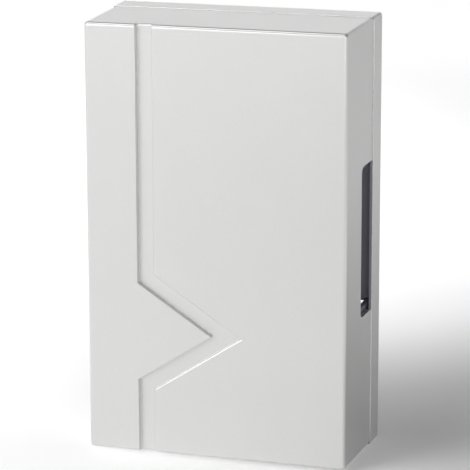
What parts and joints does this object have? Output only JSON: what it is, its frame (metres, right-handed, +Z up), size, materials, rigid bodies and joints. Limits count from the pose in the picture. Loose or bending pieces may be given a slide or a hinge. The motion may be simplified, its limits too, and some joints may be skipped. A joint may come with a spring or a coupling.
{
  "type": "door chime",
  "caption": "Wall-mounted two-tone door chime: silver box with side sound slots and a chevron groove, whose solenoid plunger strikes two tone plates in turn.",
  "frame": {"origin": "centre of the flat back, on the wall", "axes": "+X to the right as seen from the room, +Y into the wall, +Z up; the front faces -Y"},
  "size_m": [0.12, 0.0533, 0.194],
  "materials": {
    "cover_paint": "fine silver paint, satin, on dark ABS",
    "tray_plastic": "dark ABS, silver painted round the rim",
    "frame_steel": "zinc plated strip",
    "core_steel": "turned, bright",
    "plate_steel": "blued spring steel, satin",
    "screw_steel": "zinc plated",
    "spring_steel": "drawn wire",
    "brass": "satin",
    "copper": "enamelled wire",
    "tape": "polyester tape",
    "nylon": "natural nylon",
    "black_nylon": "moulded",
    "terminal_plastic": "grey polyamide",
    "soft_rubber": "natural rubber",
    "black_rubber": "matt",
    "blue_wire": "PVC insulation",
    "red_wire": "PVC insulation"
  },
  "bodies": {
    "base": {"base_tray": "tray_plastic", "solenoid_frame": "frame_steel", "coil_bobbin": "nylon", "coil_winding": "copper", "coil_tape": "tape", "guide_tube": "brass", "return_spring": "spring_steel", "tone_plate_low": "plate_steel", "tone_plate_high": "plate_steel", "plate_grommets": "soft_rubber", "peg_caps": "black_nylon", "terminal_block": "terminal_plastic", "contact_bar_left": "brass", "contact_bar_right": "brass", "block_screw": "screw_steel", "solenoid_screws": "screw_steel", "coil_lead_left": "blue_wire", "coil_lead_right": "red_wire", "cable_grommet": "black_rubber"},
    "cover": {"front_cover": "cover_paint"},
    "plunger": {"plunger_core": "core_steel", "striker_tip_low": "nylon", "striker_tip_high": "nylon", "spring_collar": "black_nylon"},
    "screw_left": {"clamp_screw_left": "screw_steel"},
    "screw_right": {"clamp_screw_right": "screw_steel"},
    "cage_left": {"clamp_cage_left": "frame_steel"},
    "cage_right": {"clamp_cage_right": "frame_steel"}
  },
  "joints": [
    {"name": "cover_pull", "type": "slide", "parent": "base", "child": "cover", "axis": [0, -1, 0], "range_m": [0, 0.06]},
    {"name": "plunger_stroke", "type": "slide", "parent": "base", "child": "plunger", "axis": [1, 0, 0], "range_m": [-0.002, 0.009], "stiffness_N_per_m": 120, "deforming": ["return_spring"]},
    {"name": "clamp_screw_left_turn", "type": "hinge", "parent": "base", "child": "screw_left", "pos_m": [-0.008, -0.0198, -0.072], "axis": [0, 1, 0], "range_deg": [0, 1440]},
    {"name": "clamp_screw_right_turn", "type": "hinge", "parent": "base", "child": "screw_right", "pos_m": [0.008, -0.0198, -0.072], "axis": [0, 1, 0], "range_deg": [0, 1440]},
    {"name": "clamp_cage_left_rise", "type": "slide", "parent": "base", "child": "cage_left", "axis": [0, -1, 0], "range_m": [0, 0.0024]},
    {"name": "clamp_cage_right_rise", "type": "slide", "parent": "base", "child": "cage_right", "axis": [0, -1, 0], "range_m": [0, 0.0024]}
  ],
  "couplings": [
    {"joint": "clamp_screw_left_turn", "follows": "clamp_cage_left_rise", "rad_per_m": 10472},
    {"joint": "clamp_screw_right_turn", "follows": "clamp_cage_right_rise", "rad_per_m": 10472}
  ]
}
